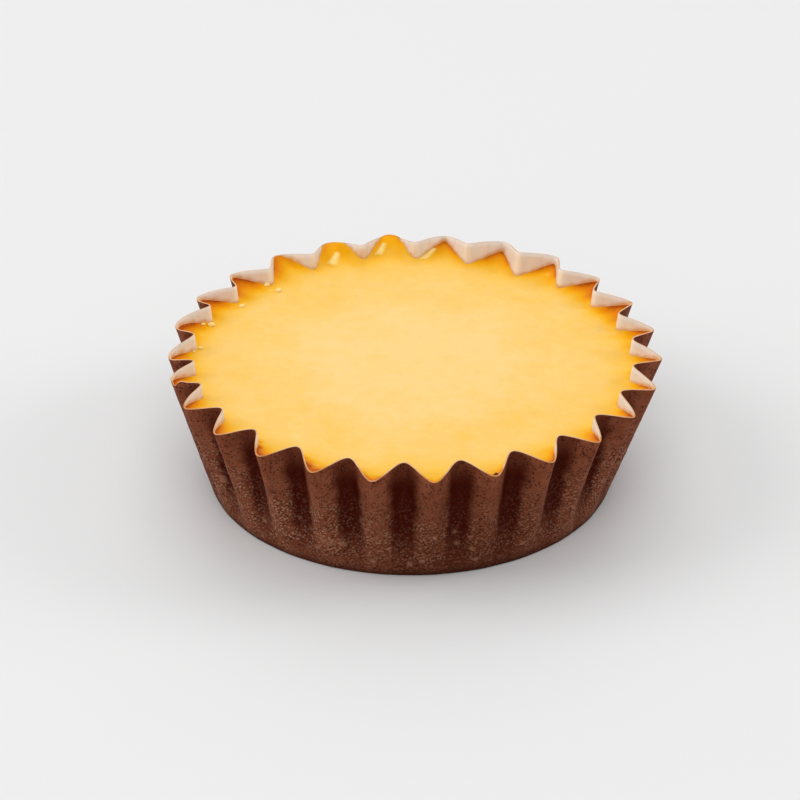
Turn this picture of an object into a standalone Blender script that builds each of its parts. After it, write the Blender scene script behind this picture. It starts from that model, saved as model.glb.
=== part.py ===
"""A small round cheese tart, baked in its own fluted paper case.

It is one rigid body of two pieces:

paper_case      a disc of stiff baking paper, pressed into a cup with deep upright flutes
cheese_filling  the baked cheese filling, which runs out into every flute and is solid to the base

The origin is the middle of the case's flat underside and +Z is up. Lengths are in metres.
"""

import math

import bmesh
import bpy

MM = 0.001

# Paper case. The paper keeps its length from the base to the rim, so where a flute folds inwards
# the wall stands steeper and its rim ends higher than at an outward tip.
BASE_RADIUS = 31.2 * MM
CORNER_RADIUS = 0.5 * MM
WALL_SLANT = 22.0 * MM
RIM_TIP_RADIUS = 38.8 * MM
RIM_FOLD_RADIUS = 34.6 * MM
PAPER_THICKNESS = 0.35 * MM

# Flutes. The wave runs between a sine (0) and a sharp zigzag (1); it is rounder at the front and
# more sharply creased at the back.
FLUTE_COUNT = 26
FIRST_TIP_ANGLE = math.radians(-84.8)
FLUTE_SHARPNESS = 0.85
STEPS_PER_FLUTE = 10
ROUNDED_FRONT = (math.radians(-90), math.radians(55), -0.17)
CREASED_BACK = (math.radians(75), math.radians(50), 0.08)

# Handling has left the rim uneven. Each bump is its bearing, its half width and its size.
PUSHED_IN_SIDE = (math.radians(180), math.radians(63), -0.77 * MM)
PUSHED_IN_TIPS = (math.radians(175), math.radians(13), -0.76 * MM)
PRESSED_TIP = (math.radians(191), math.radians(3.5), -0.35 * MM)
PULLED_OUT_TIPS = (math.radians(62), math.radians(16), 0.9 * MM)
SHALLOW_FOLDS = (math.radians(167), math.radians(16), 0.86 * MM)
TALL_SIDE = (math.radians(64), math.radians(20), 0.6 * MM)
TALL_BACK = (math.radians(108), math.radians(32), 0.3 * MM)
SQUEEZED_FLUTES = (math.radians(177), math.radians(11), math.radians(3.5))
CROWDED_FLUTES = (math.radians(127), math.radians(40), math.radians(1.2))
LEANING_FOLDS = (math.radians(165), math.radians(18), math.radians(-2.3))
BLUNT_TIPS = (math.radians(175), math.radians(29), 0.45)

# Cheese filling. Its edge climbs the paper in each flute. The front stands higher, and at one place
# the flutes are full and spill up to the rim. Sharp bends in the paper take up part of the filling's
# gap, so straight paper is given twice the gap.
FILLING_GAP = 0.3 * MM
FILLING_LEVEL = 19.0 * MM
CROWN_RISE = 0.6 * MM
LOBE_RISE = 0.9 * MM
LOBE_START = 0.88
RIM_CLEARANCE = 0.2 * MM
HIGH_FRONT = (math.radians(-104), math.radians(61), 1.2 * MM)
SUNKEN_SIDE = (math.radians(62), math.radians(10), -0.8 * MM)
OVERFLOW = (math.radians(109), math.radians(18), 1.9 * MM)
OVERFLOW_AT_FOLDS = 0.25
SPILLS = (
    (math.radians(92.2), math.radians(3.0), 1.5 * MM),
    (math.radians(105.2), math.radians(3.0), 0.9 * MM),
)
EDGE_STEEPNESS = 6

PAPER_COLOUR = (0.105, 0.036, 0.018, 1.0)
FILLING_COLOUR = (0.95, 0.56, 0.16, 1.0)

RIM_MEAN_RADIUS = (RIM_TIP_RADIUS + RIM_FOLD_RADIUS) / 2
FLUTE_DEPTH = RIM_TIP_RADIUS - RIM_FOLD_RADIUS
PLAIN_HEIGHT = math.sqrt(WALL_SLANT**2 - (RIM_MEAN_RADIUS - BASE_RADIUS) ** 2)
PLAIN_SPREAD = (RIM_MEAN_RADIUS - BASE_RADIUS) / PLAIN_HEIGHT
TURN_STEPS = FLUTE_COUNT * STEPS_PER_FLUTE


def bump(angle, shape):
    """The height at one bearing of a rounded bump given as bearing, half width and size."""
    bearing, half_width, size = shape
    away = math.remainder(angle - bearing, math.tau)
    return size * math.exp(-((away / half_width) ** 2))


def flute_wave(angle):
    """1 at a flute's outward tip, -1 at the inward fold between two flutes."""
    sharpness = FLUTE_SHARPNESS + bump(angle, ROUNDED_FRONT) + bump(angle, CREASED_BACK)
    wave = math.cos(FLUTE_COUNT * (angle - FIRST_TIP_ANGLE))
    wave = math.asin(sharpness * wave) / math.asin(sharpness)
    return wave + bump(angle, BLUNT_TIPS) * (1 - wave**2)


def flute_drift(angle):
    """How far round the rim handling has pushed the paper at this bearing, the folds furthest."""
    lean = bump(angle, LEANING_FOLDS) * (1 - flute_wave(angle)) / 2
    return bump(angle, SQUEEZED_FLUTES) + bump(angle, CROWDED_FLUTES) + lean


def rim_radius(angle):
    """The rim's distance from the axis."""
    uneven = (
        bump(angle, PUSHED_IN_SIDE)
        + bump(angle, PUSHED_IN_TIPS)
        + bump(angle, PRESSED_TIP)
        + bump(angle, PULLED_OUT_TIPS)
        + bump(angle, SHALLOW_FOLDS) * (1 - flute_wave(angle)) / 2
    )
    return RIM_MEAN_RADIUS + FLUTE_DEPTH / 2 * flute_wave(angle) + uneven


def rim_height(angle):
    """The rim's height, from the length of paper in the wall."""
    slant = WALL_SLANT + bump(angle, TALL_SIDE) + bump(angle, TALL_BACK)
    return math.sqrt(slant**2 - (rim_radius(angle) - BASE_RADIUS) ** 2)


def wall_radius(angle, height):
    """The distance from the axis of the wall's outer face, which is straight from base to rim."""
    return BASE_RADIUS + (rim_radius(angle) - BASE_RADIUS) * height / rim_height(angle)


def placed(radius, angle, height):
    """A point of the rim's unfluted circle, moved round with the flutes as it gets higher."""
    bearing = angle + flute_drift(angle) * height / PLAIN_HEIGHT
    return radius * math.cos(bearing), radius * math.sin(bearing), height


def wall_corner(radius, height):
    """Points round the corner from a flat base to the leaning wall, base first, as (x, z)."""
    lean = math.atan(PLAIN_SPREAD)
    turn = math.pi / 2 - lean
    setback = CORNER_RADIUS * math.tan(turn / 2)
    return [
        (
            radius - setback + CORNER_RADIUS * math.sin(turn * share),
            height + CORNER_RADIUS * (1 - math.cos(turn * share)),
        )
        for share in (0.0, 0.5, 1.0)
    ]


def turned(name, outline):
    """A mesh object turned from an outline of (x, z) points, given from the top downwards."""
    profile = bpy.data.meshes.new(name + "_profile")
    edges = [(i, i + 1) for i in range(len(outline) - 1)]
    profile.from_pydata([(x, 0.0, z) for x, z in outline], edges, [])
    blank = bpy.data.objects.new(name + "_blank", profile)
    bpy.context.scene.collection.objects.link(blank)
    screw = blank.modifiers.new("turn", "SCREW")
    screw.steps = screw.render_steps = TURN_STEPS
    screw.use_merge_vertices = True
    screw.merge_threshold = 0.01 * MM
    depsgraph = bpy.context.evaluated_depsgraph_get()
    mesh = bpy.data.meshes.new_from_object(blank.evaluated_get(depsgraph))
    bpy.data.objects.remove(blank)
    bpy.data.meshes.remove(profile)
    mesh.name = name
    return bpy.data.objects.new(name, mesh)


def reshape(piece, rule):
    """Moves each vertex of a turned piece to where rule(radius, angle, height) puts it.

    The turning starts at a flute's tip, so every tip and fold has its own row of vertices.
    """
    mesh = bmesh.new()
    mesh.from_mesh(piece.data)
    for vertex in mesh.verts:
        x, y, z = vertex.co
        vertex.co = rule(math.hypot(x, y), FIRST_TIP_ANGLE + math.atan2(y, x), z)
    mesh.normal_update()
    mesh.to_mesh(piece.data)
    mesh.free()


def finish_material(name, colour, roughness):
    """A plain material in the piece's own colour."""
    material = bpy.data.materials.new(name)
    material.use_nodes = True
    shader = material.node_tree.nodes["Principled BSDF"]
    shader.inputs["Base Color"].default_value = colour
    shader.inputs["Roughness"].default_value = roughness
    shader.inputs["Metallic"].default_value = 0.0
    return material


def press_paper(radius, angle, height):
    """Presses the flutes into a plain cup: they start from nothing at the base's edge."""
    share = height / PLAIN_HEIGHT
    pressed_radius = radius + share * (rim_radius(angle) - RIM_MEAN_RADIUS)
    return placed(pressed_radius, angle, share * rim_height(angle))


def make_paper_case(collection):
    """The case is an open sheet with its thickness on the inside."""
    wall_shares = (1.0, 0.7, 0.4)
    wall = [
        (BASE_RADIUS + PLAIN_SPREAD * PLAIN_HEIGHT * share, PLAIN_HEIGHT * share)
        for share in wall_shares
    ]
    corner = wall_corner(BASE_RADIUS, 0.0)
    case = turned("paper_case", wall + corner[::-1] + [(0.0, 0.0)])
    reshape(case, press_paper)
    collection.objects.link(case)
    thickness = case.modifiers.new("paper", "SOLIDIFY")
    thickness.thickness = PAPER_THICKNESS
    thickness.offset = -1.0
    thickness.use_even_offset = False
    case.data.materials.append(finish_material("brown_paper", PAPER_COLOUR, 0.75))
    case.data.shade_smooth()
    case.data.set_sharp_from_angle(angle=math.radians(40))
    return case


def filling_inset(angle, share):
    """The filling's distance inside the wall's outer face, along the radius, at a share of its height.

    It grows where the paper runs askew to the rim's circle, so that the gap across it stays even.
    """
    step = math.tau / TURN_STEPS
    run = rim_radius(angle) * (
        2 * step + share * (flute_drift(angle + step) - flute_drift(angle - step))
    )
    rise = share * (rim_radius(angle + step) - rim_radius(angle - step))
    return (PAPER_THICKNESS + 2 * FILLING_GAP) * math.hypot(run, rise) / run


def filling_top(angle, reach):
    """The top's height at a share of the way out from the middle (0) to the wall (1)."""
    outward = (1.0 + flute_wave(angle)) / 2
    spill = bump(angle, OVERFLOW) * (OVERFLOW_AT_FOLDS + (1.0 - OVERFLOW_AT_FOLDS) * outward)
    side = bump(angle, HIGH_FRONT) + bump(angle, SUNKEN_SIDE) + spill
    climb = max(0.0, (reach - LOBE_START) / (1.0 - LOBE_START))
    lobe = LOBE_RISE * outward + sum(bump(angle, shape) for shape in SPILLS)
    rise = CROWN_RISE * (1.0 - reach**2) + lobe * climb**2
    height = FILLING_LEVEL + rise + side * reach**EDGE_STEEPNESS
    return min(height, rim_height(angle) - RIM_CLEARANCE)


def make_cheese_filling(collection):
    """The filling is turned plain, with its top flat, and then spread out into the flutes."""
    floor = PAPER_THICKNESS + FILLING_GAP
    plain_edge = BASE_RADIUS + PLAIN_SPREAD * FILLING_LEVEL - floor
    top_shares = (0.0, 0.35, 0.7, LOBE_START, 0.92, 0.96, 1.0)
    top = [(plain_edge * share, FILLING_LEVEL) for share in top_shares]
    corner = wall_corner(BASE_RADIUS - floor, floor)

    def spread(radius, angle, height):
        """Moves a point of the plain filling out with the wall, and the top's points up or down."""
        on_top = height > FILLING_LEVEL - 0.001 * MM
        reach = radius / plain_edge if on_top else 1.0
        edge_top = filling_top(angle, 1.0)
        rise = (height - floor) / (FILLING_LEVEL - floor)
        edge_height = floor + (edge_top - floor) * rise
        plain_wall = BASE_RADIUS + PLAIN_SPREAD * height - floor
        inset = filling_inset(angle, edge_height / rim_height(angle))
        stretch = wall_radius(angle, edge_height) - inset - plain_wall
        moved_height = filling_top(angle, reach) if on_top else edge_height
        return placed(radius + stretch * reach**EDGE_STEEPNESS, angle, moved_height)

    filling = turned("cheese_filling", top + corner[::-1] + [(0.0, floor)])
    reshape(filling, spread)
    collection.objects.link(filling)
    filling.data.materials.append(finish_material("baked_cheese", FILLING_COLOUR, 0.5))
    filling.data.shade_smooth()
    filling.data.set_sharp_from_angle(angle=math.radians(40))
    return filling


def main():
    for old in list(bpy.data.objects):
        bpy.data.objects.remove(old)
    tart = bpy.data.collections.new("cheese_tart")
    bpy.context.scene.collection.children.link(tart)
    make_paper_case(tart)
    make_cheese_filling(tart)


main()
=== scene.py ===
"""Dresses a small round cheese tart that was baked in a fluted brown paper case.

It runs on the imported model. The two plain solids are swapped for finely made pieces of the same form, which
stand on a pale floor under soft studio light. Lengths are in metres, with the origin under the middle of the
case, and bearings run anticlockwise from +X, seen from above.
"""

import math
import random

import bmesh
import bpy
from bpy.props import (
    FloatProperty,
    FloatVectorProperty,
    IntProperty,
    PointerProperty,
)
from mathutils import Matrix, Vector, noise
from mathutils.kdtree import KDTree


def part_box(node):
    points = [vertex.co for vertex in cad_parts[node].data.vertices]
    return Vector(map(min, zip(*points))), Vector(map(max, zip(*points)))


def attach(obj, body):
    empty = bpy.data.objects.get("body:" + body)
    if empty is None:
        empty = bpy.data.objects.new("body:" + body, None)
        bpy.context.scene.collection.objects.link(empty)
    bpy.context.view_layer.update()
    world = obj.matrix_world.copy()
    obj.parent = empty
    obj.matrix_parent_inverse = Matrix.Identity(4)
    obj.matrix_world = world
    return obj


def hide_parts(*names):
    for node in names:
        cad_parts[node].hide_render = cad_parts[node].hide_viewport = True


bl_info = {
    "name": "Cheese tart in a fluted paper case",
    "version": (1, 0, 0),
    "blender": (4, 5, 0),
    "location": "3D View > Sidebar > Cheese tart",
    "description": "Makes a baked cheese tart, its paper case, its trimmings and a soft studio around it",
    "category": "Add Mesh",
}

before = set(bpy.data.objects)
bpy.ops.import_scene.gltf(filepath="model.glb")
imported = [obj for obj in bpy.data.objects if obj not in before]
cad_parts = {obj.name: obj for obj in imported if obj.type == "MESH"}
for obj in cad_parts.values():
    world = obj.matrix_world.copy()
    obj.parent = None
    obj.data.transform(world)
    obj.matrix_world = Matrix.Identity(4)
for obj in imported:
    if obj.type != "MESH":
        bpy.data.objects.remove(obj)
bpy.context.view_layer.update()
FLOOR_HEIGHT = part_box("paper_case")[0].z
MM = 0.001


def bump_at(bearing, half_width, size):
    """A bump round the rim, from its bearing and half width in degrees and its size."""
    return math.radians(bearing), math.radians(half_width), size


# Handling has left the rim uneven.
PUSHED_IN_SIDE = bump_at(180, 63, -0.77 * MM)
PUSHED_IN_TIPS = bump_at(175, 13, -0.76 * MM)
PULLED_OUT_TIPS = bump_at(62, 16, 0.9 * MM)
PRESSED_TIP = bump_at(191, 3.5, -0.35 * MM)
SHALLOW_FOLDS = bump_at(167, 16, 0.86 * MM)
TALL_SIDE = bump_at(64, 20, 0.6 * MM)
TALL_BACK = bump_at(108, 32, 0.3 * MM)
SQUEEZED_FLUTES = bump_at(177, 11, math.radians(3.5))
CROWDED_FLUTES = bump_at(127, 40, math.radians(1.2))
LEANING_FOLDS = bump_at(165, 18, math.radians(-2.3))
BLUNT_TIPS = bump_at(175, 29, 0.45)
ROUNDED_FRONT = bump_at(-90, 55, -0.17)
CREASED_BACK = bump_at(75, 50, 0.08)
NICKED_TIP = bump_at(194.3, 0.6, -0.65 * MM)
CURLED_EDGE = bump_at(195.7, 0.6, 0.25 * MM)
RAGGEDNESS = 0.06 * MM
PEBBLED_SIDES = (bump_at(-128, 38, 0.55), bump_at(-35, 24, 0.35), bump_at(60, 80, 0.35))
LEAST_GRAIN = 0.34

# The filling is higher at the front, overflows at one place and hangs over the rim a little there.
HIGH_FRONT = bump_at(-104, 61, 1.2 * MM)
SUNKEN_SIDE = bump_at(62, 10, -0.8 * MM)
OVERFLOW = bump_at(109, 18, 1.9 * MM)
OVERFLOW_IN_FOLDS = 0.25
SPILLS = (bump_at(92.2, 3.0, 1.5 * MM), bump_at(105.2, 3.0, 0.9 * MM))
RIM_LIPS = (bump_at(93.8, 2.8, 0.3 * MM), bump_at(107, 3.6, 0.12 * MM))
LIP_OVERHANG = 0.3 * MM
RIM_CLEARANCE = 0.05 * MM

# How the top runs out to the paper. Starts and ends are shares of the way out from the middle, and the skin
# is the share of the paper's thickness outside the filling.
LOBE_START = 0.88
LIP_START = 0.93
LIP_END = 0.985
EDGE_POWER = 6
FILM_WIDTH = 0.45 * MM
FILM_IN_FOLDS = 0.15
FILLING_SKIN = 0.6
# How far the butter stain, with its painted shade and glow from the filling, reaches up the paper.
BUTTER_SOAK = 0.4 * MM

# How the filling browns towards the paper: shares of the darkest brown, and widths.
BAND_BROWNING = 0.16
FLUTE_BROWNING = 0.52
FLUTE_UNEVENNESS = 0.14
FOLD_BROWNING = 0.3
BROWNING_WIDTH = 2.6 * MM
BROWNING_PATCHES = 1.2 * MM
LINE_BROWNING = 0.35
FRONT_LINE = 0.25
OVERFLOW_LINE = -0.45
LINE_WIDTH = 0.3 * MM
POCKET_BROWNING = 0.3
BROWNED_BEARINGS = (
    bump_at(150, 26, 0.10),
    bump_at(-119, 14, 0.2),
    bump_at(26, 26, 0.08),
    bump_at(97, 24, -0.24),
    bump_at(-84, 16, -0.36),
)
DEEP_BROWNING = (
    bump_at(140, 34, 2.4 * MM),
    bump_at(100, 12, 2.4 * MM),
    bump_at(36, 26, 2.4 * MM),
    bump_at(-84, 22, -1.2 * MM),
)

# Spots are placed by flute number: whole numbers are tips, counted clockwise from the front, and halves
# are folds. On the filling, a spot has its distance in from the paper; on the wall, its height.
# A pocket has its radius and depth, and a bead its radius.
POCKETS = (
    (2.4, 0.5 * MM, 0.9 * MM, 0.4 * MM),
    (2.16, 0.7 * MM, 0.9 * MM, 0.35 * MM),
    (3.42, 0.4 * MM, 0.8 * MM, 0.4 * MM),
    (3.25, 0.6 * MM, 0.8 * MM, 0.4 * MM),
    (1.35, 0.5 * MM, 0.6 * MM, 0.25 * MM),
    (4.6, 0.9 * MM, 0.4 * MM, 0.12 * MM),
    (21.42, 0.5 * MM, 0.4 * MM, 0.12 * MM),
)
BEADS = (
    (10.44, 2.5 * MM, 0.44 * MM),
    (10.4, 0.3 * MM, 0.45 * MM),
    (9.4, 1.9 * MM, 0.38 * MM),
    (8.37, 1.4 * MM, 0.48 * MM),
    (8.33, 0.7 * MM, 0.28 * MM),
    (7.53, 0.6 * MM, 0.32 * MM),
    (7.4, 0.3 * MM, 0.2 * MM),
)
# A ridge has the spots of its two ends, the radius at each end and its height.
RIDGES = (
    ((12.05, 2.8 * MM), (11.87, 3.8 * MM), 0.7 * MM, 1.4 * MM, 0.32 * MM),
    ((12.94, 1.4 * MM), (12.68, 2.8 * MM), 0.75 * MM, 1.5 * MM, 0.3 * MM),
    ((13.84, 0.5 * MM), (13.54, 1.7 * MM), 0.55 * MM, 1.3 * MM, 0.24 * MM),
)
# A stain has its radius and how soaked it is, and a blister its radius.
STAINS = (
    (18.0, 20.7 * MM, 1.1 * MM, 0.9),
    (10.66, 19.6 * MM, 1.0 * MM, 0.9),
    (11.56, 20.3 * MM, 1.5 * MM, 0.4),
    (12.5, 20.4 * MM, 2.0 * MM, 0.6),
    (13.5, 20.3 * MM, 1.5 * MM, 0.35),
)
LARGE_BLISTERS = (
    (0.15, 3.2 * MM, 0.55 * MM),
    (0.4, 2.4 * MM, 0.65 * MM),
    (25.2, 5.0 * MM, 0.6 * MM),
    (25.1, 2.7 * MM, 0.65 * MM),
    (24.1, 3.7 * MM, 0.6 * MM),
    (1.1, 2.9 * MM, 0.7 * MM),
    (1.7, 5.4 * MM, 0.8 * MM),
    (4.7, 8.2 * MM, 0.9 * MM),
    (4.9, 6.2 * MM, 0.8 * MM),
)
LARGE_BLISTER_RISE = 0.36
BLISTER_SEED = 11
BLISTER_HEIGHTS = (0.06, 0.4)
BLISTER_RADII = (0.35, 0.7)
BLISTER_RISES = (0.16, 0.3)
# The blister height that takes the full painted highlight.
BLISTER_FULLY_HIGHLIT = 0.12 * MM

# The crumb on the rim: its flute number, its distances in and down from the rim, its lie and its radii.
CRUMB_NUMBER = 24.98
CRUMB_INWARD = 0.65 * MM
CRUMB_DOWN = 0.15 * MM
CRUMB_LIE = Vector((1, 0.3, 0))
CRUMB_RADII = (0.45 * MM, 0.3 * MM, 0.35 * MM)
BEAD_LIFT = 0.1 * MM
BEAD_LIE = Vector((1, 0, 0))
BEAD_STRETCH = 1.15
LUMPINESS = 0.25

# Where the rings of the meshes lie, as shares of the wall's height and of the way out from the middle.
HALFWAY_RING = 0.5
LOWEST_RING = 0.07
CASE_FLOOR_RINGS = (0.97, 0.85, 0.5, 0.0)
COARSE_TOP_RINGS = (0.0, 0.1, 0.2, 0.3, 0.4, 0.5, 0.58, 0.65, 0.71, 0.76, 0.8, 0.835)
FIRST_FINE_RING = 0.86
FILLING_FLOOR_RINGS = (0.8, 0.4, 0.0)

# How fast the noise that roughens the shapes varies, per metre.
RAGGED_SCALE = 700.0
CRINKLE_SCALE = 380.0
PEBBLE_SCALE = 1150.0
SWELL_SCALE = 110.0
RIPPLE_SCALE = 420.0
BROWNING_SCALE = 230.0
LUMP_SCALE = 1600.0
GRAIN_SCALE = 2250.0

# The lights' names, places and sizes, the floor's half width, and what the camera looks at, in tip radii.
LIGHTS = (
    ("top_light", (0.0, 0.15, 1.1), 1.0),
    ("front_light", (0.0, -0.9, 1.0), 0.9),
    ("back_light", (0.0, 0.95, 0.8), 0.9),
    ("left_light", (-1.05, 0.0, 0.62), 0.9),
    ("right_light", (1.05, 0.14, 0.55), 0.5),
)
FLOOR_HALF_WIDTH = 1.5
CAMERA_AIM = (-0.0418, 0.571)
SENSOR_WIDTH = 36.0


def length_setting(name, description, default, precision=4):
    """A length as a setting."""
    return FloatProperty(
        name=name, description=description, default=default, unit="LENGTH", precision=precision
    )


def colour_setting(name, description, *rgb):
    """An opaque colour as a setting."""
    return FloatVectorProperty(
        name=name, description=description, subtype="COLOR", size=4, default=(*rgb, 1.0), min=0.0, max=1.0
    )


def power_setting(name, description, default):
    """A light's power as a setting."""
    return FloatProperty(name=name, description=description, default=default, unit="POWER")


class PaperCaseSettings(bpy.types.PropertyGroup):
    """Sizes and colours of the fluted paper case."""

    base_radius: length_setting("Base radius", "Radius of the flat base", 31.2 * MM)
    corner_radius: length_setting("Corner radius", "Bend between base and wall", 0.5 * MM)
    wall_slant: length_setting("Wall length", "Paper from base to rim", 22.0 * MM)
    tip_radius: length_setting("Tip radius", "Rim radius at a flute's tip", 38.8 * MM)
    fold_radius: length_setting("Fold radius", "Rim radius at an inward fold", 34.6 * MM)
    thickness: length_setting("Thickness", "Thickness of the paper", 0.22 * MM, 5)
    flute_count: IntProperty(name="Flutes", description="Number of flutes", default=26, min=8)
    first_tip: FloatProperty(
        name="First tip", description="Bearing of one flute's tip", default=math.radians(-84.8),
        subtype="ANGLE",
    )
    sharpness: FloatProperty(
        name="Flute sharpness", description="0 is a sine, 1 a zigzag", default=0.85, min=0.1, max=0.99
    )
    crinkle: length_setting("Crinkle", "Height of the paper's waviness", 0.05 * MM, 5)
    pebbling: length_setting("Pebbling", "Height of the lower wall's pebbles", 0.09 * MM, 5)
    blisters: IntProperty(
        name="Blisters", description="Small steam blisters low on the wall", default=70, min=0
    )
    outside: colour_setting("Outside", "Brown of the paper's outside", 0.245, 0.074, 0.036)
    mottled: colour_setting("Mottle", "Darker drifts in the brown", 0.135, 0.031, 0.012)
    # Painted shade low on the plain wall.
    low_wall_shade: colour_setting("Lower wall", "Darker brown of the plain lower wall", 0.090, 0.020, 0.007)
    # Painted shade in the outside folds.
    fold_shade: colour_setting("Grooves", "Darker brown in the folds", 0.055, 0.004, 0.001)
    # Painted highlights on the pebbles' tops and on the blisters.
    painted_highlight: colour_setting("Pebbles", "Paler tops of the pebbled grain", 0.48, 0.23, 0.14)
    # Dark fibres, also used for painted shade under the pebbles and at the foot of the wall.
    fibres_and_shade: colour_setting("Speckle", "Dark fibres in the brown", 0.040, 0.008, 0.004)
    inside: colour_setting("Inside", "Pale side of the paper", 0.81, 0.70, 0.61)
    streaked: colour_setting("Streaks", "Darker streaks in the pale side", 0.58, 0.46, 0.38)
    # Painted greyish sheen beside the folds.
    fold_sheen: colour_setting("Worn", "Rubbed paper beside the folds", 0.74, 0.69, 0.66)
    # Painted highlight along the fold crests.
    crest_highlight: colour_setting("Creases", "Paler paper along the folds", 0.93, 0.80, 0.68)
    # Real butter stain, which also paints shade and orange glow from the filling near it.
    stain_and_glow: colour_setting("Oiled inside", "Pale side where butter has soaked in", 0.72, 0.40, 0.17)
    cut_edge: colour_setting("Cut edge", "The paper's thin cut edge", 0.84, 0.52, 0.31)
    oiled_edge: colour_setting("Oiled edge", "Cut edge where butter has soaked in", 0.62, 0.27, 0.08)


class FillingSettings(bpy.types.PropertyGroup):
    """Sizes and colours of the baked cheese filling."""

    level: length_setting("Level", "Height of the top at its edge", 19.0 * MM)
    crown: length_setting("Crown", "Rise of the middle", 0.6 * MM)
    lobe_rise: length_setting("Lobe rise", "Rise into each flute", 0.9 * MM)
    film_rise: length_setting("Film rise", "Climb of the thin edge up the paper", 0.45 * MM, 5)
    unevenness: length_setting("Unevenness", "Waviness of the top", 0.12 * MM, 5)
    pale: colour_setting("Middle", "Pale yellow middle", 0.945, 0.64, 0.24)
    warm: colour_setting("Warm", "Yellow towards the edge", 0.945, 0.565, 0.125)
    golden: colour_setting("Golden", "Golden band at the edge", 0.935, 0.51, 0.050)
    rich: colour_setting("Rich", "Deep gold in the palest flutes", 0.91, 0.42, 0.003)
    amber: colour_setting("Amber", "First browning in the flutes", 0.78, 0.23, 0.001)
    browned: colour_setting("Browned", "Darkest browning at the tips", 0.42, 0.065, 0.001)
    fleck: colour_setting("Flecks", "Pale flecks in the top", 0.95, 0.74, 0.40)
    grain: colour_setting("Grain", "Fine darker grain in the top", 0.84, 0.47, 0.10)
    # Pale cheese with a painted highlight, on the ridges beside the overflow.
    butter: colour_setting("Butter", "Pale ridges beside the overflow", 0.97, 0.72, 0.25)


class TrimmingSettings(bpy.types.PropertyGroup):
    """Sizes and colours of the beads and the crumb."""

    flatness: FloatProperty(
        name="Flatness", description="Height of a bead for its width", default=0.8, min=0.1, max=1.5
    )
    bead: colour_setting("Beads", "Pale buttery beads", 0.96, 0.72, 0.28)
    bead_shade: colour_setting("Bead shade", "Deeper yellow in the beads", 0.93, 0.62, 0.20)
    crumb: colour_setting("Crumb", "Browned crumb on the rim", 0.10, 0.022, 0.005)
    crumb_light: colour_setting("Crumb light", "Paler specks in the crumb", 0.30, 0.10, 0.03)


class StudioSettings(bpy.types.PropertyGroup):
    """The floor, the lights and the camera."""

    floor: colour_setting("Floor", "Colour of the floor", 0.80, 0.80, 0.80)
    floor_shade: colour_setting("Floor shade", "Faint darker drifts in the floor", 0.70, 0.70, 0.71)
    ambient: FloatProperty(
        name="Ambient", description="Strength of the light all round", default=0.36, min=0.0
    )
    top_light: power_setting("Top light", "Power of the light above", 2.7)
    front_light: power_setting("Front light", "Power of the front light", 4.6)
    back_light: power_setting("Back light", "Power of the light behind", 2.8)
    left_light: power_setting("Left light", "Power of the left light", 6.0)
    right_light: power_setting("Right light", "Power of the right light", 3.3)
    camera_distance: length_setting("Camera distance", "From the camera to the point it looks at", 0.776, 2)
    camera_elevation: FloatProperty(
        name="Camera elevation", description="Camera's angle above the floor", default=math.radians(29.81),
        subtype="ANGLE",
    )
    focal_length: FloatProperty(
        name="Focal length", description="The camera's lens", default=217.9, unit="CAMERA", min=10.0
    )


def bump(angle, shape):
    """The height of a rounded bump at one bearing."""
    bearing, half_width, size = shape
    away = math.remainder(angle - bearing, math.tau)
    return size * math.exp(-((away / half_width) ** 2))


def bumps(angle, shapes):
    """The height of several bumps together at one bearing."""
    return sum(bump(angle, shape) for shape in shapes)


def smooth_step(low, high, value):
    """0 below low, 1 above high and an even curve between."""
    share = min(1.0, max(0.0, (value - low) / (high - low)))
    return share * share * (3 - 2 * share)


def evenly(first, last, steps):
    """Evenly spaced numbers from first to last."""
    return [first + (last - first) * i / steps for i in range(steps + 1)]


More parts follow.
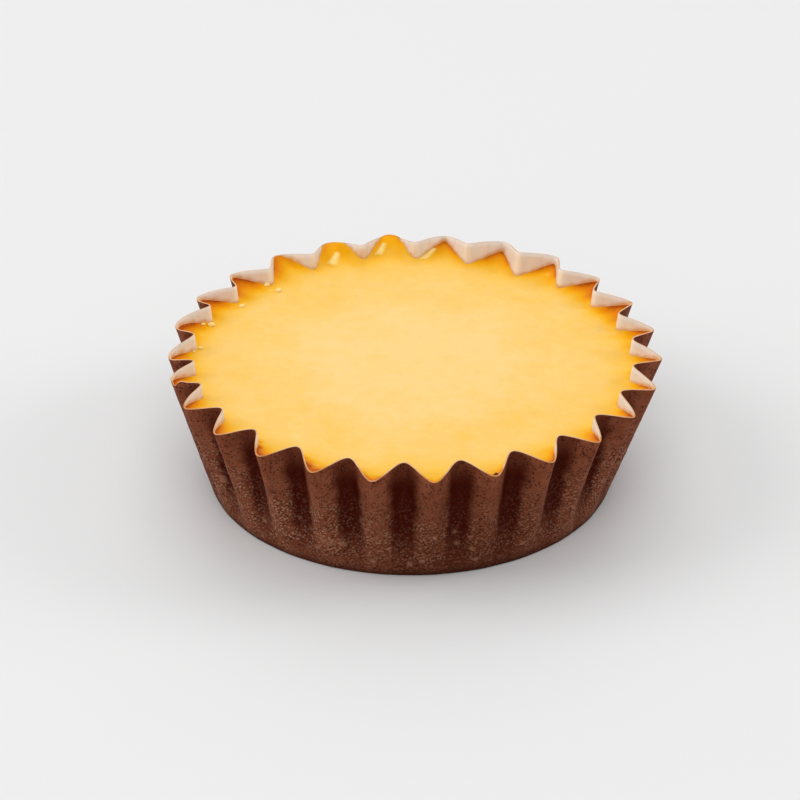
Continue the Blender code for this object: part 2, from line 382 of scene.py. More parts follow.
class Case:
    """The paper case's form, worked out from its settings. The filling follows it too."""

    STEPS_PER_FLUTE = 28

    def __init__(self, sizes):
        self.base = sizes.base_radius
        self.corner = sizes.corner_radius
        self.slant = sizes.wall_slant
        self.tip = sizes.tip_radius
        self.fold = sizes.fold_radius
        self.thickness = sizes.thickness
        self.skin = FILLING_SKIN * sizes.thickness
        self.count = sizes.flute_count
        self.first_tip = sizes.first_tip
        self.sharpness = sizes.sharpness
        self.mean = (self.tip + self.fold) / 2
        self.depth = self.tip - self.fold
        self.height = math.sqrt(self.slant**2 - (self.mean - self.base) ** 2)
        self.spread = (self.mean - self.base) / self.height
        self.steps = self.count * self.STEPS_PER_FLUTE

    def wave(self, angle):
        """1 at a flute's outward tip, -1 at the inward fold between two flutes."""
        wave = math.cos(self.count * (angle - self.first_tip))
        sharpness = self.sharpness + bump(angle, ROUNDED_FRONT) + bump(angle, CREASED_BACK)
        wave = math.asin(sharpness * wave) / math.asin(sharpness)
        return wave + bump(angle, BLUNT_TIPS) * (1 - wave**2)

    def flute_bearing(self, number):
        """The bearing of a tip, counted clockwise from above; a half falls on a fold."""
        return self.first_tip - math.tau * number / self.count

    def drift(self, angle):
        """How far round the rim handling has pushed the paper at this bearing."""
        lean = bump(angle, LEANING_FOLDS) * (1 - self.wave(angle)) / 2
        return bump(angle, SQUEEZED_FLUTES) + bump(angle, CROWDED_FLUTES) + lean

    def rim_radius(self, angle):
        """The rim's distance from the axis."""
        wave = self.wave(angle)
        uneven = bumps(angle, (PUSHED_IN_SIDE, PUSHED_IN_TIPS, PULLED_OUT_TIPS, PRESSED_TIP))
        return self.mean + self.depth / 2 * wave + uneven + bump(angle, SHALLOW_FOLDS) * (1 - wave) / 2

    def rim_height(self, angle):
        """The rim's height, from the length of paper in the wall."""
        slant = self.slant + bump(angle, TALL_SIDE) + bump(angle, TALL_BACK)
        return math.sqrt(slant**2 - (self.rim_radius(angle) - self.base) ** 2)

    def wall_radius(self, angle, height):
        """The distance from the axis of the wall's outer face."""
        return self.base + (self.rim_radius(angle) - self.base) * height / self.rim_height(angle)

    def filled_radius(self, height):
        """The distance from the axis of the filling's side before it has flutes."""
        return self.base + self.spread * height - self.skin

    def placed(self, radius, angle, height):
        """A point of the unfluted circle, moved round with the flutes as it gets higher."""
        bearing = angle + self.drift(angle) * height / self.height
        return Vector((radius * math.cos(bearing), radius * math.sin(bearing), height))

    def corner_points(self, radius, height, steps):
        """Points round the corner from the leaning wall to a flat base, wall first, as (x, z)."""
        turn = math.pi / 2 - math.atan(self.spread)
        setback = self.corner * math.tan(turn / 2)
        points = [
            (radius - setback + self.corner * math.sin(angle), height + self.corner * (1 - math.cos(angle)))
            for angle in evenly(0.0, turn, steps)
        ]
        return points[::-1]


def spun(outline, steps):
    """A bmesh turned from an outline of (x, z) points about the axis, its poles closed."""
    mesh = bmesh.new()
    verts = [mesh.verts.new((x, 0.0, z)) for x, z in outline]
    edges = [mesh.edges.new(pair) for pair in zip(verts, verts[1:])]
    bmesh.ops.spin(
        mesh, geom=verts + edges, cent=(0, 0, 0), axis=(0, 0, 1), angle=math.tau, steps=steps, use_merge=True
    )
    bmesh.ops.remove_doubles(mesh, verts=mesh.verts, dist=0.001 * MM)
    bmesh.ops.recalc_face_normals(mesh, faces=mesh.faces)
    lowest = min(mesh.faces, key=lambda face: face.calc_center_median().z)
    if lowest.normal.z > 0:
        bmesh.ops.reverse_faces(mesh, faces=mesh.faces)
    mesh.normal_update()
    return mesh


def finish_piece(name, mesh, materials, body="root"):
    """Puts a bmesh into the scene as a smooth piece that rides on the body."""
    old = bpy.data.objects.get(name)
    if old:
        bpy.data.objects.remove(old)
    data = bpy.data.meshes.new(name)
    mesh.to_mesh(data)
    mesh.free()
    for material in materials:
        data.materials.append(material)
    data.shade_smooth()
    piece = bpy.data.objects.new(name, data)
    bpy.context.scene.collection.objects.link(piece)
    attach(piece, body)
    return piece


class Finish:
    """A node material under construction, built from a few named steps."""

    def __init__(self, name):
        self.material = bpy.data.materials.get(name) or bpy.data.materials.new(name)
        self.material.use_nodes = True
        self.tree = self.material.node_tree
        self.tree.nodes.clear()
        self.shader = self.add("ShaderNodeBsdfPrincipled")
        output = self.add("ShaderNodeOutputMaterial")
        self.join(self.shader.outputs[0], output.inputs["Surface"])
        self.position = self.add("ShaderNodeTexCoord").outputs["Object"]

    def add(self, kind, **settings):
        """Adds a node."""
        node = self.tree.nodes.new(kind)
        for key, value in settings.items():
            setattr(node, key, value)
        return node

    def join(self, source, target):
        """Links one node's output to another's input."""
        self.tree.links.new(source, target)

    def put(self, target, value):
        """Sets a socket to a number or colour, or links it to another socket."""
        if isinstance(value, bpy.types.NodeSocket):
            self.join(value, target)
        else:
            target.default_value = value

    def mapped(self, **sockets):
        """The position, scaled or moved by the mapping node's sockets."""
        mapping = self.add("ShaderNodeMapping")
        for key, value in sockets.items():
            mapping.inputs[key].default_value = value
        self.join(self.position, mapping.inputs["Vector"])
        return mapping.outputs["Vector"]

    def clouds(self, scale, detail=3.0, roughness=0.5, vector=None):
        """Soft noise with features about 1/scale metres across."""
        node = self.add("ShaderNodeTexNoise")
        node.inputs["Scale"].default_value = scale
        node.inputs["Detail"].default_value = detail
        node.inputs["Roughness"].default_value = roughness
        self.join(vector or self.position, node.inputs["Vector"])
        return node.outputs["Fac"]

    def cells(self, scale, vector=None):
        """The distance to the nearest of many scattered points."""
        node = self.add("ShaderNodeTexVoronoi")
        node.inputs["Scale"].default_value = scale
        self.join(vector or self.position, node.inputs["Vector"])
        return node.outputs["Distance"]

    def attribute(self, name):
        """What the mesh's points note under this name."""
        return self.add("ShaderNodeAttribute", attribute_name=name).outputs["Fac"]

    def remap(self, value, low, high, new_low=0.0, new_high=1.0):
        """A value's range moved to another, held at its ends."""
        node = self.add("ShaderNodeMapRange", interpolation_type="SMOOTHSTEP")
        self.join(value, node.inputs["Value"])
        for key, number in (("From Min", low), ("From Max", high), ("To Min", new_low), ("To Max", new_high)):
            node.inputs[key].default_value = number
        return node.outputs["Result"]

    def maths(self, operation, first, second):
        """The result of a maths node on two numbers or sockets."""
        node = self.add("ShaderNodeMath", operation=operation)
        self.put(node.inputs[0], first)
        self.put(node.inputs[1], second)
        return node.outputs[0]

    def total(self, first, second):
        """One value plus another."""
        return self.maths("ADD", first, second)

    def product(self, first, second):
        """One value times another."""
        return self.maths("MULTIPLY", first, second)

    def mix(self, share, first, second):
        """The first colour, replaced by the second to a share."""
        node = self.add("ShaderNodeMix", data_type="RGBA")
        self.put(node.inputs["Factor"], share)
        self.put(node.inputs[6], first)
        self.put(node.inputs[7], second)
        return node.outputs[2]

    def ramp(self, value, stops):
        """Colours along a value, from (place, colour) stops."""
        node = self.add("ShaderNodeValToRGB")
        points = node.color_ramp.elements
        while len(points) < len(stops):
            points.new(0.5)
        for point, (place, colour) in zip(points, stops):
            point.position = place
            point.color = colour
        self.join(value, node.inputs["Fac"])
        return node.outputs["Color"]

    def relief(self, height, depth, strength=1.0, below=None):
        """A bump from a height from 0 to 1 that stands this many metres."""
        node = self.add("ShaderNodeBump")
        node.inputs["Strength"].default_value = strength
        node.inputs["Distance"].default_value = depth
        self.join(height, node.inputs["Height"])
        if below:
            self.join(below, node.inputs["Normal"])
        return node.outputs["Normal"]

    def surface(self, **sockets):
        """Sets the shader's sockets, named with _ for a space."""
        for key, value in sockets.items():
            self.put(self.shader.inputs[key.replace("_", " ")], value)
        return self.material


def paper_outside_finish(case):
    """Matt brown paper with dark fibres and a pebbled grain low on the wall, with painted shade in the folds,
    low on the wall, under each pebble and at the foot, and painted highlights on the pebbles and blisters.
    """
    finish = Finish("brown_paper_outside")
    rise = finish.attribute("rise")
    grain_share = finish.attribute("grain")

    # Painted shade in the folds, with wavering edges, fading towards the base and the rim.
    waver = finish.remap(finish.clouds(260.0, 3.0, 0.6), 0.3, 0.7, -0.09, 0.09)
    fold_shade = finish.remap(finish.total(finish.attribute("fold"), waver), 0.36, 0.78)
    fold_shade = finish.product(fold_shade, finish.remap(rise, 0.04, 0.45, 0.22, 1.0))
    fold_shade = finish.product(fold_shade, finish.remap(rise, 0.78, 0.97, 1.0, 0.5))

    # The brown drifts between two tones, and painted shade darkens it low on the wall where there is no
    # grain.
    mottle = finish.remap(finish.clouds(420.0, 4.0, 0.6), 0.35, 0.68)
    brown = finish.mix(finish.product(mottle, 0.55), case.outside[:], case.mottled[:])
    plain = finish.remap(grain_share, 0.4, 0.8, 1.0, 0.15)
    brown = finish.mix(finish.product(finish.remap(rise, 0.1, 0.95, 0.85, 0.0), plain), brown, case.low_wall_shade[:])
    # Painted shade in the folds.
    brown = finish.mix(fold_shade, brown, case.fold_shade[:])
    fibres = finish.remap(finish.cells(2200.0), 0.26, 0.48, 1.0, 0.0)
    fibrous = finish.remap(finish.clouds(900.0, 2.0), 0.36, 0.56, 0.1, 0.85)
    brown = finish.mix(finish.product(fibres, fibrous), brown, case.fibres_and_shade[:])

    # Each pebble of the grain gets a painted highlight on its top and painted shade under it, and the grain
    # is patchy.
    low = finish.product(finish.remap(rise, 0.42, 0.88, 1.0, 0.0), grain_share)
    low = finish.product(low, finish.remap(finish.clouds(650.0, 2.0), 0.36, 0.58, 0.35, 1.0))
    pebbles = finish.product(finish.remap(finish.cells(GRAIN_SCALE), 0.3, 0.54, 1.0, 0.0), low)
    lower_cells = finish.cells(GRAIN_SCALE, finish.mapped(Location=(0.0, 0.0, 0.13 * MM)))
    undersides = finish.product(finish.remap(lower_cells, 0.32, 0.56, 0.9, 0.0), low)
    brown = finish.mix(undersides, brown, case.fibres_and_shade[:])
    tops = finish.product(pebbles, finish.remap(rise, 0.03, 0.25, 0.5, 0.95))
    outside_fold_shade = finish.maths("SUBTRACT", 1.0, finish.product(fold_shade, 0.78))
    brown = finish.mix(finish.product(tops, outside_fold_shade), brown, case.painted_highlight[:])
    # Painted highlights on the blisters.
    brown = finish.mix(finish.product(finish.attribute("swelling"), 0.35), brown, case.painted_highlight[:])
    # Painted contact shadow at the foot of the wall.
    brown = finish.mix(finish.remap(rise, 0.0, 0.08, 0.75, 0.0), brown, case.fibres_and_shade[:])

    normal = finish.relief(pebbles, 0.12 * MM)
    normal = finish.relief(finish.clouds(2600.0, 4.0, 0.7), 0.06 * MM, 0.7, normal)
    roughness = finish.remap(finish.clouds(1500.0, 3.0), 0.3, 0.7, 0.42, 0.6)
    return finish.surface(Base_Color=brown, Roughness=roughness, Normal=normal, Specular_IOR_Level=0.02)


def paper_inside_finish(case):
    """Pale paper inside, darker and warmer where butter has soaked in above the filling, a soak that also
    paints shade and orange glow from the filling, with a painted sheen beside the folds and a painted
    highlight along their crests.
    """
    finish = Finish("pale_paper_inside")
    fold = finish.attribute("fold")
    blotches = finish.remap(finish.clouds(500.0, 3.0, 0.6), 0.3, 0.7, -0.12, 0.12)
    soaked = finish.remap(finish.total(finish.attribute("oil"), blotches), 0.15, 1.0)
    streaks = finish.clouds(900.0, 3.0, 0.6, finish.mapped(Scale=(1.0, 1.0, 0.25)))
    colour = finish.mix(finish.remap(streaks, 0.45, 0.75, 0.0, 0.25), case.inside[:], case.streaked[:])
    # Painted greyish sheen beside the folds.
    fold_sheen = finish.product(finish.remap(fold, 0.6, 0.75), finish.remap(fold, 0.86, 0.98, 1.0, 0.0))
    fold_sheen = finish.product(fold_sheen, finish.remap(finish.clouds(260.0, 2.0), 0.45, 0.6, 0.0, 0.5))
    colour = finish.mix(fold_sheen, colour, case.fold_sheen[:])
    # Painted highlight along the fold crests.
    colour = finish.mix(finish.remap(fold, 0.9, 1.0, 0.0, 0.6), colour, case.crest_highlight[:])
    # Butter stain, with painted shade and glow from the filling.
    colour = finish.mix(soaked, colour, case.stain_and_glow[:])
    normal = finish.relief(finish.clouds(2400.0, 4.0, 0.7), 0.04 * MM, 0.6)
    normal = finish.relief(streaks, 0.12 * MM, 0.5, normal)
    return finish.surface(
        Base_Color=colour, Roughness=finish.remap(soaked, 0.0, 1.0, 0.5, 0.34), Normal=normal,
        Subsurface_Weight=0.1, Subsurface_Scale=0.3 * MM, Specular_IOR_Level=0.12,
    )


def paper_edge_finish(case):
    """The cut edge, where the paper's pale core shows."""
    finish = Finish("paper_cut_edge")
    stained = finish.remap(finish.clouds(700.0, 3.0), 0.35, 0.65, 0.0, 0.4)
    stained = finish.total(stained, finish.product(finish.attribute("oil"), 0.75))
    colour = finish.mix(stained, case.cut_edge[:], case.oiled_edge[:])
    normal = finish.relief(finish.clouds(3000.0, 3.0), 0.03 * MM, 0.6)
    return finish.surface(Base_Color=colour, Roughness=0.6, Normal=normal, Specular_IOR_Level=0.1)


def filling_finish(filling):
    """Baked cheese: pale and softly mottled, golden at the edge and browned in the flutes."""
    finish = Finish("baked_cheese")
    bake = finish.attribute("bake")
    butter = finish.attribute("butter")
    drifts = finish.remap(finish.clouds(110.0, 3.0, 0.55), 0.3, 0.7, -0.04, 0.04)
    mottle = finish.remap(finish.clouds(460.0, 4.0, 0.6), 0.3, 0.7, -0.035, 0.035)
    colour = finish.ramp(finish.total(finish.total(bake, drifts), mottle), (
        (0.0, filling.pale[:]),
        (0.2, filling.warm[:]),
        (0.36, filling.golden[:]),
        (0.52, filling.rich[:]),
        (0.74, filling.amber[:]),
        (1.0, filling.browned[:]),
    ))
    colour = finish.mix(finish.remap(finish.cells(300.0), 0.06, 0.16, 0.14, 0.0), colour, filling.fleck[:])
    grain = finish.remap(finish.clouds(2400.0, 2.0, 0.6), 0.5, 0.75, 0.0, 0.16)
    colour = finish.mix(grain, colour, filling.grain[:])
    # The ridges beside the overflow: pale cheese with a painted highlight.
    patches = finish.remap(finish.clouds(500.0, 2.0), 0.3, 0.6, 0.75, 1.0)
    buttery = finish.product(finish.remap(butter, 0.12, 1.0), patches)
    colour = finish.mix(buttery, colour, filling.butter[:])
    normal = finish.relief(finish.clouds(900.0, 5.0, 0.65), 0.035 * MM, 0.7)
    normal = finish.relief(finish.clouds(160.0, 2.0), 0.12 * MM, 0.5, normal)
    roughness = finish.remap(bake, 0.25, 0.9, 0.5, 0.4)
    roughness = finish.maths("SUBTRACT", roughness, finish.product(butter, 0.2))
    return finish.surface(
        Base_Color=colour, Roughness=roughness, Normal=normal, Subsurface_Weight=0.25,
        Subsurface_Radius=(1.0, 0.5, 0.2), Subsurface_Scale=0.6 * MM, Specular_IOR_Level=0.04,
    )


def bead_finish(trimmings):
    """Glossy beads of butter."""
    finish = Finish("buttery_bead")
    tone = finish.remap(finish.clouds(900.0, 2.0), 0.4, 0.7)
    colour = finish.mix(tone, trimmings.bead[:], trimmings.bead_shade[:])
    normal = finish.relief(finish.clouds(1800.0, 2.0), 0.02 * MM, 0.5)
    return finish.surface(
        Base_Color=colour, Roughness=0.16, Normal=normal, Subsurface_Weight=0.3,
        Subsurface_Radius=(1.0, 0.5, 0.2), Subsurface_Scale=0.4 * MM,
    )


def crumb_finish(trimmings):
    """A dry browned crumb."""
    finish = Finish("browned_crumb")
    tone = finish.remap(finish.clouds(2500.0, 3.0), 0.35, 0.65)
    colour = finish.mix(tone, trimmings.crumb[:], trimmings.crumb_light[:])
    normal = finish.relief(finish.clouds(4000.0), 0.05 * MM)
    return finish.surface(Base_Color=colour, Roughness=0.8, Normal=normal, Specular_IOR_Level=0.1)


def floor_finish(studio):
    """A plain matt board with the faintest unevenness."""
    finish = Finish("pale_board")
    tone = finish.remap(finish.clouds(9.0, 2.0), 0.3, 0.7, 0.0, 0.03)
    colour = finish.mix(tone, studio.floor[:], studio.floor_shade[:])
    normal = finish.relief(finish.clouds(600.0, 2.0), 0.01 * MM, 0.3)
    return finish.surface(Base_Color=colour, Roughness=0.7, Normal=normal, Specular_IOR_Level=0.2)


def filling_top(case, filling, angle, reach):
    """The top's height at a share of the way out from the middle (0) to the paper (1)."""
    outward = (1.0 + case.wave(angle)) / 2
    side = bump(angle, HIGH_FRONT) + bump(angle, SUNKEN_SIDE)
    side += bump(angle, OVERFLOW) * (OVERFLOW_IN_FOLDS + (1 - OVERFLOW_IN_FOLDS) * outward)
    climb = max(0.0, (reach - LOBE_START) / (1 - LOBE_START))
    lobe = filling.lobe_rise * outward + bumps(angle, SPILLS)
    film = math.exp(-(1.0 - reach) * case.mean / FILM_WIDTH) * (FILM_IN_FOLDS + (1 - FILM_IN_FOLDS) * outward)
    height = filling.level + filling.crown * (1.0 - reach**2) + lobe * climb**2
    height += side * reach**EDGE_POWER + filling.film_rise * film
    lip = bumps(angle, RIM_LIPS) * smooth_step(LIP_START, LIP_END, reach)
    return min(height, case.rim_height(angle) - RIM_CLEARANCE + lip)


def filling_radius(case, filling, angle, reach, height):
    """The distance from the axis at a share of the way out, with the edge in the paper at a height."""
    plain = case.filled_radius(filling.level)
    return plain * reach + (case.wall_radius(angle, height) - case.skin - plain) * reach**EDGE_POWER


def spot_on_filling(case, filling, number, inward, lift=0.0):
    """The point on the filling at a flute number and a distance in from the paper."""
    angle = case.flute_bearing(number)
    edge_top = filling_top(case, filling, angle, 1.0)
    low, high = 0.5, 1.0
    for _ in range(20):
        reach = (low + high) / 2
        height = filling_top(case, filling, angle, reach)
        radius = filling_radius(case, filling, angle, reach, edge_top)
        if case.wall_radius(angle, height) - case.thickness - radius > inward:
            low = reach
        else:
            high = reach
    return case.placed(radius, angle, height + lift)


def spot_on_wall(case, number, height):
    """The point of the paper's outside at a flute number and a height."""
    angle = case.flute_bearing(number)
    return case.placed(case.wall_radius(angle, height), angle, height)


def swellings(mesh, spots):
    """How far each vertex is raised by rounded swellings, given as centre, radius and height."""
    tree = KDTree(len(mesh.verts))
    for vert in mesh.verts:
        tree.insert(vert.co, vert.index)
    tree.balance()
    raised = [0.0] * len(mesh.verts)
    for centre, radius, height in spots:
        for _, index, away in tree.find_range(centre, radius):
            raised[index] = max(raised[index], height * (1 - (away / radius) ** 2) ** 2)
    return raised


class TART_OT_paper_case(bpy.types.Operator):
    """Make the fluted paper case: brown outside, pale inside, pebbled and blistered low on its wall"""

    bl_idname = "tart.paper_case"
    bl_label = "Paper case"

    def execute(self, context):
        sizes = context.scene.tart_paper
        case = Case(sizes)
        mesh = self.plain_cup(case)
        self.press(mesh, case, context.scene.tart_filling)
        self.stain(mesh, case)
        self.roughen(mesh, case, sizes)
        finishes = [paper_outside_finish(sizes), paper_inside_finish(sizes), paper_edge_finish(sizes)]
        piece = finish_piece("fluted_paper", mesh, finishes)
        sheet = piece.modifiers.new("thickness", "SOLIDIFY")
        sheet.thickness = sizes.thickness
        sheet.offset = -1.0
        sheet.material_offset = 1
        sheet.material_offset_rim = 2
        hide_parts("paper_case")
        return {"FINISHED"}

    def plain_cup(self, case):
        """The outside of a cup with no flutes yet, finely divided low on its wall."""
        shares = evenly(1.0, HALFWAY_RING, 15)[:-1] + evenly(HALFWAY_RING, LOWEST_RING, 36)
        wall = [(case.base + case.spread * case.height * share, case.height * share) for share in shares]
        corner = case.corner_points(case.base, 0.0, 5)
        floor = [(corner[-1][0] * share, 0.0) for share in CASE_FLOOR_RINGS]
        return spun(wall + corner + floor, case.steps)

    def press(self, mesh, case, filling):
        """Presses the flutes into the plain cup and notes what each point of the paper is."""
        rise_layer = mesh.verts.layers.float.new("rise")
        fold_layer = mesh.verts.layers.float.new("fold")
        oil_layer = mesh.verts.layers.float.new("oil")
        grain_layer = mesh.verts.layers.float.new("grain")
        for vert in mesh.verts:
            x, y, z = vert.co
            radius = math.hypot(x, y)
            angle = case.first_tip + math.atan2(y, x)
            share = z / case.height
            ragged = -RAGGEDNESS * abs(noise.noise(Vector((x, y, 0.0)) * RAGGED_SCALE))
            ragged += bump(angle, NICKED_TIP) + bump(angle, CURLED_EDGE)
            top = case.rim_height(angle) + ragged * share**4
            vert.co = case.placed(radius + share * (case.rim_radius(angle) - case.mean), angle, share * top)
            vert[rise_layer] = share
            vert[fold_layer] = (1.0 - case.wave(angle)) / 2
            # The butter soak up the paper, which also carries painted shade and glow from the filling.
            above = share * top - filling_top(case, filling, angle, 1.0)
            vert[oil_layer] = math.exp(-max(0.0, above) / BUTTER_SOAK)
            vert[grain_layer] = min(1.0, LEAST_GRAIN + bumps(angle, PEBBLED_SIDES))
        mesh.normal_update()

    def stain(self, mesh, case):
        """Soaks the stained spots of the paper."""
        oil_layer = mesh.verts.layers.float["oil"]
        mesh.verts.index_update()
        soaked = swellings(mesh, [
            (spot_on_wall(case, number, height), radius, oiliness)
            for number, height, radius, oiliness in STAINS
        ])
        for vert in mesh.verts:
            vert[oil_layer] = max(vert[oil_layer], soaked[vert.index])

    def roughen(self, mesh, case, sizes):
        """Raises the crinkles, pebbles and blisters out of the smooth wall."""
        rise_layer = mesh.verts.layers.float["rise"]
        grain_layer = mesh.verts.layers.float["grain"]
        swelling_layer = mesh.verts.layers.float.new("swelling")
        mesh.verts.index_update()
        raised = swellings(mesh, self.blisters(case, sizes))
        moves = []
        for vert in mesh.verts:
            share = vert[rise_layer]
            blister = raised[vert.index]
            low = smooth_step(0.04, 0.14, share) * (1 - smooth_step(0.45, 0.75, share)) * vert[grain_layer]
            move = sizes.crinkle * noise.noise(vert.co * CRINKLE_SCALE) * (1 - smooth_step(0.85, 0.97, share))
            move += sizes.pebbling * low * max(0.0, noise.noise(vert.co * PEBBLE_SCALE))
            move += blister
            # How strongly each blister gets its painted highlight.
            vert[swelling_layer] = min(1.0, blister / BLISTER_FULLY_HIGHLIT)
            moves.append(vert.normal * move * smooth_step(0.02, 0.08, share))
        for vert, move in zip(mesh.verts, moves):
            vert.co += move
        mesh.normal_update()

    def blisters(self, case, sizes):
        """The blisters as centre, radius and height: the large ones, then small ones by chance."""
        dice = random.Random(BLISTER_SEED)
        blisters = [
            (spot_on_wall(case, number, height), radius, LARGE_BLISTER_RISE * radius)
            for number, height, radius in LARGE_BLISTERS
        ]
        for _ in range(sizes.blisters):
            number = dice.uniform(0, case.count)
            height = case.height * dice.uniform(*BLISTER_HEIGHTS)
            radius = dice.uniform(*BLISTER_RADII) * MM
            rise = radius * dice.uniform(*BLISTER_RISES)
            blisters.append((spot_on_wall(case, number, height), radius, rise))
        return blisters


class TART_OT_cheese_filling(bpy.types.Operator):
    """Make the baked filling, which fills the case and climbs the paper a little in every flute"""

    bl_idname = "tart.cheese_filling"
    bl_label = "Cheese filling"

    def execute(self, context):
        case = Case(context.scene.tart_paper)
        filling = context.scene.tart_filling
        mesh = self.plain_block(case, filling.level)
        self.shape(mesh, case, filling)
        self.sink_pockets(mesh, case, filling)
        self.raise_ridges(mesh, case, filling)
        mesh.normal_update()
        piece = finish_piece("baked_filling", mesh, [filling_finish(filling)])
        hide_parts("cheese_filling")
        return {"FINISHED"}

    def plain_block(self, case, level):
        """A block with no flutes yet and a level top, finely divided near the top's edge."""
        reaches = [*COARSE_TOP_RINGS, *evenly(FIRST_FINE_RING, 1.0, 28)]
        top = [(case.filled_radius(level) * reach, level) for reach in reaches]
        corner = case.corner_points(case.base - case.skin, case.skin, 4)
        wall = [(case.filled_radius(z), z) for z in evenly(level, corner[0][1], 8)[1:-1]]
        floor = [(corner[-1][0] * share, case.skin) for share in FILLING_FLOOR_RINGS]
        return spun(top + wall + corner + floor, case.steps)

    def shape(self, mesh, case, filling):
        """Runs the block into the flutes, gives it its top and notes how brown each point is."""
        level, skin = filling.level, case.skin
        edge = case.filled_radius(level)
        bake_layer = mesh.verts.layers.float.new("bake")
        for vert in mesh.verts:
            x, y, z = vert.co
            radius = math.hypot(x, y)
            angle = case.first_tip + math.atan2(y, x)
            edge_top = filling_top(case, filling, angle, 1.0)
            if z > level - 0.001 * MM:
                reach = radius / edge
                height = filling_top(case, filling, angle, reach)
                spread = filling_radius(case, filling, angle, reach, edge_top)
                swell = noise.noise(Vector((x, y, 0.0)) * SWELL_SCALE)
                ripple = noise.noise(Vector((x, y, 9.0)) * RIPPLE_SCALE)
                height += filling.unevenness * (swell + 0.35 * ripple) * (1 - smooth_step(0.9, 1.0, reach))
            else:
                height = skin + (edge_top - skin) * (z - skin) / (level - skin)
                spread = radius + case.wall_radius(angle, height) - case.base - case.spread * z
            spread += LIP_OVERHANG * smooth_step(0.0, LIP_OVERHANG, height - case.rim_height(angle))
            vert.co = case.placed(spread, angle, height)
            inward = case.wall_radius(angle, height) - case.thickness - spread
            vert[bake_layer] = self.baking(case, angle, spread, inward)

    def baking(self, case, angle, radius, inward):
        """How brown the filling is at a radius and a distance in from the paper: 0 pale, 1 darkest."""
        wave = case.wave(angle)
        across = Vector((math.cos(angle), math.sin(angle), 0.0))
        uneven = noise.noise(across * 9.0)
        patchy = noise.noise((across * radius + Vector((0.0, 0.0, 0.02))) * BROWNING_SCALE)
        share = radius / case.fold
        band = smooth_step(0.25, 0.8, share) + smooth_step(0.84, 1.0 + 0.03 * uneven, share)
        depth = BROWNING_WIDTH + BROWNING_PATCHES * patchy + bumps(angle, DEEP_BROWNING)
        outward = smooth_step(case.fold - depth, case.rim_radius(angle) + 0.4 * MM, radius)
        outward = outward**1.5 * (FOLD_BROWNING + (1 - FOLD_BROWNING) * smooth_step(-0.9, 0.5, wave))
        strength = FLUTE_BROWNING + FLUTE_UNEVENNESS * uneven + bumps(angle, BROWNED_BEARINGS)
        at_front = bump(angle, HIGH_FRONT) / HIGH_FRONT[2]
        at_overflow = bump(angle, OVERFLOW) / OVERFLOW[2]
        line = LINE_BROWNING + FRONT_LINE * at_front + OVERFLOW_LINE * at_overflow
        line *= math.exp(-max(0.0, inward) / LINE_WIDTH) * smooth_step(-0.6, 0.4, wave)
        return min(1.0, BAND_BROWNING * band + strength * outward + line)

    def sink_pockets(self, mesh, case, filling):
        """Sinks the browned pockets beside the paper at the front."""
        bake_layer = mesh.verts.layers.float["bake"]
        mesh.verts.index_update()
        for number, inward, radius, depth in POCKETS:
            centre = spot_on_filling(case, filling, number, inward)
            sunk = swellings(mesh, [(centre, radius, depth)])
            for vert in mesh.verts:
                share = sunk[vert.index] / depth
                if share > 0 and vert.co.z > centre.z - depth:
                    vert.co.z -= share * depth
                    vert[bake_layer] = min(1.0, vert[bake_layer] + POCKET_BROWNING * share)

    def raise_ridges(self, mesh, case, filling):
        """Raises the ridges beside the overflow, pale cheese with a painted highlight on it."""
        butter_layer = mesh.verts.layers.float.new("butter")
        mesh.verts.index_update()
        for start, end, start_radius, end_radius, height in RIDGES:
            low = spot_on_filling(case, filling, *start)
            high = spot_on_filling(case, filling, *end)
            raised = swellings(mesh, [
                (low.lerp(high, share), start_radius + (end_radius - start_radius) * share, height)
                for share in evenly(0.0, 1.0, 24)
            ])
            for vert in mesh.verts:
                share = raised[vert.index] / height
                if share > 0 and vert.co.z > low.z - 2 * height:
                    vert.co.z += share * height
                    vert[butter_layer] = max(vert[butter_layer], share)


class TART_OT_trimmings(bpy.types.Operator):
    """Make the buttery beads on the filling and the crumb on the rim"""

    bl_idname = "tart.trimmings"
    bl_label = "Trimmings"

    def execute(self, context):
        case = Case(context.scene.tart_paper)
        filling = context.scene.tart_filling
        trimmings = context.scene.tart_trimmings

        mesh = bmesh.new()
        for number, inward, size in BEADS:
            place = spot_on_filling(case, filling, number, inward, BEAD_LIFT)
            self.add_lump(mesh, place, BEAD_LIE, (size * BEAD_STRETCH, size, size * trimmings.flatness))
        piece = finish_piece("buttery_beads", mesh, [bead_finish(trimmings)])

        mesh = bmesh.new()
        angle = case.flute_bearing(CRUMB_NUMBER)
        place = case.placed(case.rim_radius(angle) - CRUMB_INWARD, angle, case.rim_height(angle) - CRUMB_DOWN)
        self.add_lump(mesh, place, CRUMB_LIE, CRUMB_RADII)
        piece = finish_piece("rim_crumb", mesh, [crumb_finish(trimmings)])
        return {"FINISHED"}

    def add_lump(self, mesh, place, along, radii):
        """Adds one rounded lump, a little uneven, its first radius along a direction."""
        turn = along.to_track_quat("X", "Z").to_matrix().to_4x4() @ Matrix.Diagonal((*radii, 1.0))
        shape = bmesh.ops.create_icosphere(
            mesh, subdivisions=3, radius=1.0, matrix=Matrix.Translation(place) @ turn
        )
        mesh.normal_update()
        height = LUMPINESS * radii[2]
        moves = [vert.normal * height * noise.noise(vert.co * LUMP_SCALE) for vert in shape["verts"]]
        for vert, move in zip(shape["verts"], moves):
            vert.co += move


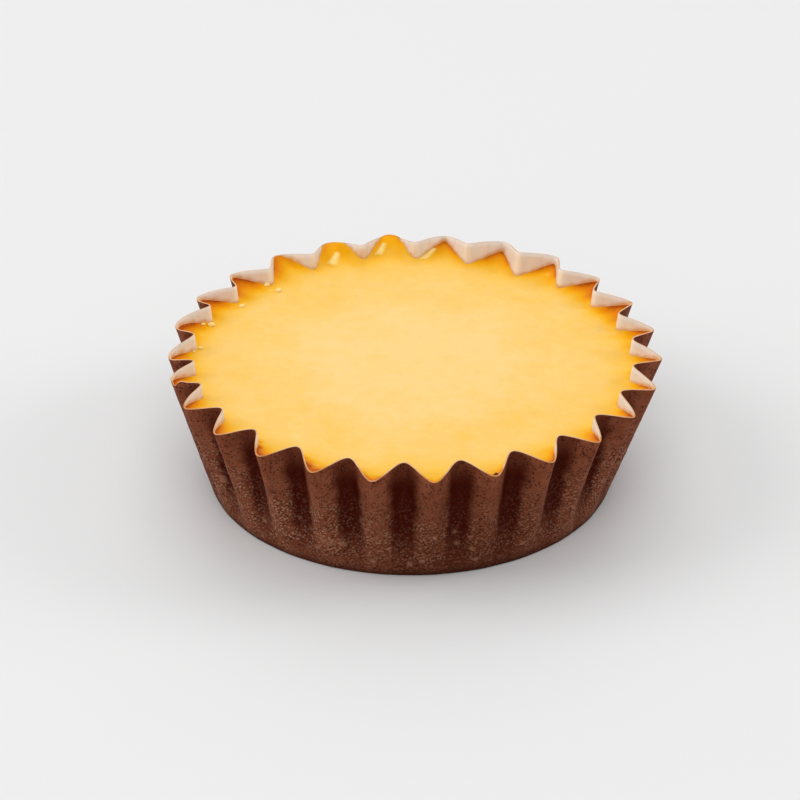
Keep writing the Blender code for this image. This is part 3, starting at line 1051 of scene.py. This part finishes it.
class TART_OT_studio(bpy.types.Operator):
    """Make the pale floor, the soft lights and the camera"""

    bl_idname = "tart.studio"
    bl_label = "Studio"

    def execute(self, context):
        scene = context.scene
        studio = scene.tart_studio
        self.add_floor(scene, studio)
        for name, place, size in LIGHTS:
            self.add_light(scene, name, place, size, getattr(studio, name))
        self.add_camera(scene, studio)
        scene.view_settings.view_transform = "Standard"
        return {"FINISHED"}

    def add_floor(self, scene, studio):
        """The board under the tart, and the room's even light."""
        mesh = bmesh.new()
        bmesh.ops.create_grid(mesh, x_segments=1, y_segments=1, size=FLOOR_HALF_WIDTH)
        data = bpy.data.meshes.new("floor")
        mesh.to_mesh(data)
        mesh.free()
        data.materials.append(floor_finish(studio))
        floor = bpy.data.objects.new("floor", data)
        floor.location.z = FLOOR_HEIGHT
        scene.collection.objects.link(floor)

        world = bpy.data.worlds.new("soft_room")
        world.use_nodes = True
        background = world.node_tree.nodes["Background"]
        background.inputs["Color"].default_value = (1.0, 1.0, 1.0, 1.0)
        background.inputs["Strength"].default_value = studio.ambient
        scene.world = world

    def add_light(self, scene, name, place, size, power):
        """A square soft light that faces the tart."""
        lamp = bpy.data.lights.new(name, "AREA")
        lamp.shape = "SQUARE"
        lamp.size = size
        lamp.energy = power
        light = bpy.data.objects.new(name, lamp)
        light.location = place
        light.rotation_euler = Vector(place).to_track_quat("Z", "Y").to_euler()
        scene.collection.objects.link(light)

    def add_camera(self, scene, studio):
        """A long lens that looks down at the tart from the front."""
        across, back = CAMERA_AIM
        tip = scene.tart_paper.tip_radius
        aim = Vector((across * tip, back * tip, 0.0))
        elevation = studio.camera_elevation
        away = Vector((0.0, -math.cos(elevation), math.sin(elevation)))
        lens = bpy.data.cameras.new("camera")
        lens.lens = studio.focal_length
        lens.sensor_width = SENSOR_WIDTH
        camera = bpy.data.objects.new("camera", lens)
        camera.location = aim + studio.camera_distance * away
        camera.rotation_euler = away.to_track_quat("Z", "Y").to_euler()
        scene.collection.objects.link(camera)
        scene.camera = camera


class TART_PT_panel(bpy.types.Panel):
    """Lists the tart's pieces and the studio"""

    bl_idname = "TART_PT_panel"
    bl_label = "Cheese tart"
    bl_space_type = "VIEW_3D"
    bl_region_type = "UI"
    bl_category = "Cheese tart"

    def draw(self, context):
        for operator in PIECES:
            self.layout.operator(operator.bl_idname)
        for name in SETTINGS:
            group = getattr(context.scene, name)
            box = self.layout.box()
            for key in group.__annotations__:
                box.prop(group, key)


PIECES = (TART_OT_paper_case, TART_OT_cheese_filling, TART_OT_trimmings, TART_OT_studio)
SETTINGS = {
    "tart_paper": PaperCaseSettings,
    "tart_filling": FillingSettings,
    "tart_trimmings": TrimmingSettings,
    "tart_studio": StudioSettings,
}


def register():
    for group in (*SETTINGS.values(), *PIECES, TART_PT_panel):
        bpy.utils.register_class(group)
    for name, group in SETTINGS.items():
        setattr(bpy.types.Scene, name, PointerProperty(type=group))


def unregister():
    for name in SETTINGS:
        delattr(bpy.types.Scene, name)
    for group in (TART_PT_panel, *reversed(PIECES), *SETTINGS.values()):
        bpy.utils.unregister_class(group)


def main():
    register()
    bpy.ops.tart.paper_case()
    bpy.ops.tart.cheese_filling()
    bpy.ops.tart.trimmings()
    bpy.ops.tart.studio()


if __name__ == "__main__":
    main()
